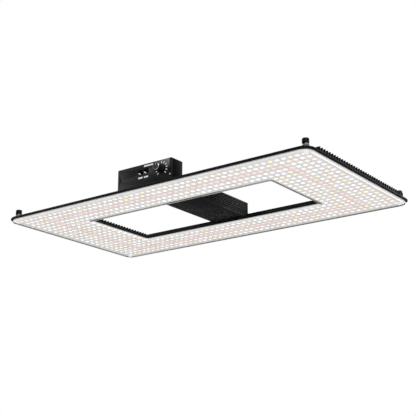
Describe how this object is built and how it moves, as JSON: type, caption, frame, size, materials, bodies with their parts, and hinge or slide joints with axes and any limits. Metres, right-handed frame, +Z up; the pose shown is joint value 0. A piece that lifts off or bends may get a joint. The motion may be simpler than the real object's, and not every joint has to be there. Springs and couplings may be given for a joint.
{
  "type": "led grow light",
  "caption": "Hanging LED grow light: a flat rectangular ring of LEDs under a finned heat sink, with a power supply across its open middle and a control box with a dimmer knob.",
  "frame": {"origin": "centre of the lamp's outline, on the flat face of the clear cover", "axes": "+X along the long side, -Y towards the control panel, +Z up towards the hanging posts"},
  "size_m": [0.6664, 0.3606, 0.0499],
  "materials": {
    "clear_cover": "clear polycarbonate sheet, gloss",
    "board_white": "white solder mask, satin",
    "led_white": "cool white LED, lit",
    "led_warm": "warm white LED, lit",
    "led_red": "deep red LED, lit",
    "seal_rubber": "soft black silicone",
    "seal_white": "soft translucent white silicone",
    "screw_steel": "nickel-plated steel",
    "sink_black": "black anodised aluminium, satin",
    "post_black": "turned and black anodised",
    "washer_steel": "plain steel",
    "case_black": "black anodised ribbed extrusion",
    "cap_black": "black powder coat",
    "screw_black": "black oxide steel",
    "thermal_pad": "grey silicone pad",
    "circuit_green": "green glass-fibre board",
    "ferrite": "dark ferrite with tape",
    "capacitor_sleeve": "shrink sleeve",
    "label_silver": "blank foil label",
    "box_black": "black powder-coated sheet",
    "panel_black": "dark grey textured panel",
    "port_plastic": "black moulded plastic",
    "contact_brass": "gold-flashed spring contact",
    "indicator_white": "frosted indicator lens",
    "pot_metal": "plated steel",
    "knob_plastic": "black moulded knob, fluted",
    "knob_metal": "grey satin cap with a bright cut rim",
    "pointer_white": "white inlay",
    "lead_sheath": "black round lead",
    "gland_nylon": "black nylon"
  },
  "bodies": {
    "root": {"lens_cover": "clear_cover", "led_board": "board_white", "white_leds": "led_white", "warm_leds": "led_warm", "red_leds": "led_red", "cover_seals": "seal_white", "board_screws": "screw_steel", "heat_sink": "sink_black", "hanging_posts": "post_black", "post_washers": "washer_steel", "post_screws": "screw_steel", "driver_case": "case_black", "driver_front_cap": "cap_black", "driver_rear_cap": "cap_black", "end_cap_gaskets": "seal_rubber", "end_cap_screws": "screw_black", "driver_foot_screws": "screw_black", "driver_pads": "thermal_pad", "driver_circuit_board": "circuit_green", "driver_transformer": "ferrite", "driver_choke": "ferrite", "driver_capacitors": "capacitor_sleeve", "blank_label": "label_silver", "control_box_shell": "box_black", "control_panel": "panel_black", "panel_screws": "screw_black", "box_screws": "screw_black", "control_circuit_board": "circuit_green", "data_ports": "port_plastic", "port_contacts": "contact_brass", "indicator_lens": "indicator_white", "potentiometer_body": "pot_metal", "potentiometer_nut": "screw_steel", "lead_grommet": "seal_rubber", "output_lead": "lead_sheath", "board_terminal": "port_plastic", "cable_gland": "gland_nylon", "gland_nut": "gland_nylon"},
    "dial": {"dimmer_shaft": "pot_metal", "dimmer_knob": "knob_plastic", "knob_cap": "knob_metal", "knob_pointer": "pointer_white"}
  },
  "joints": [
    {"name": "dimmer_turn", "type": "hinge", "parent": "root", "child": "dial", "pos_m": [0.0372, -0.1665, 0.0339], "axis": [0, -1, 0], "range_deg": [-135, 135]}
  ]
}
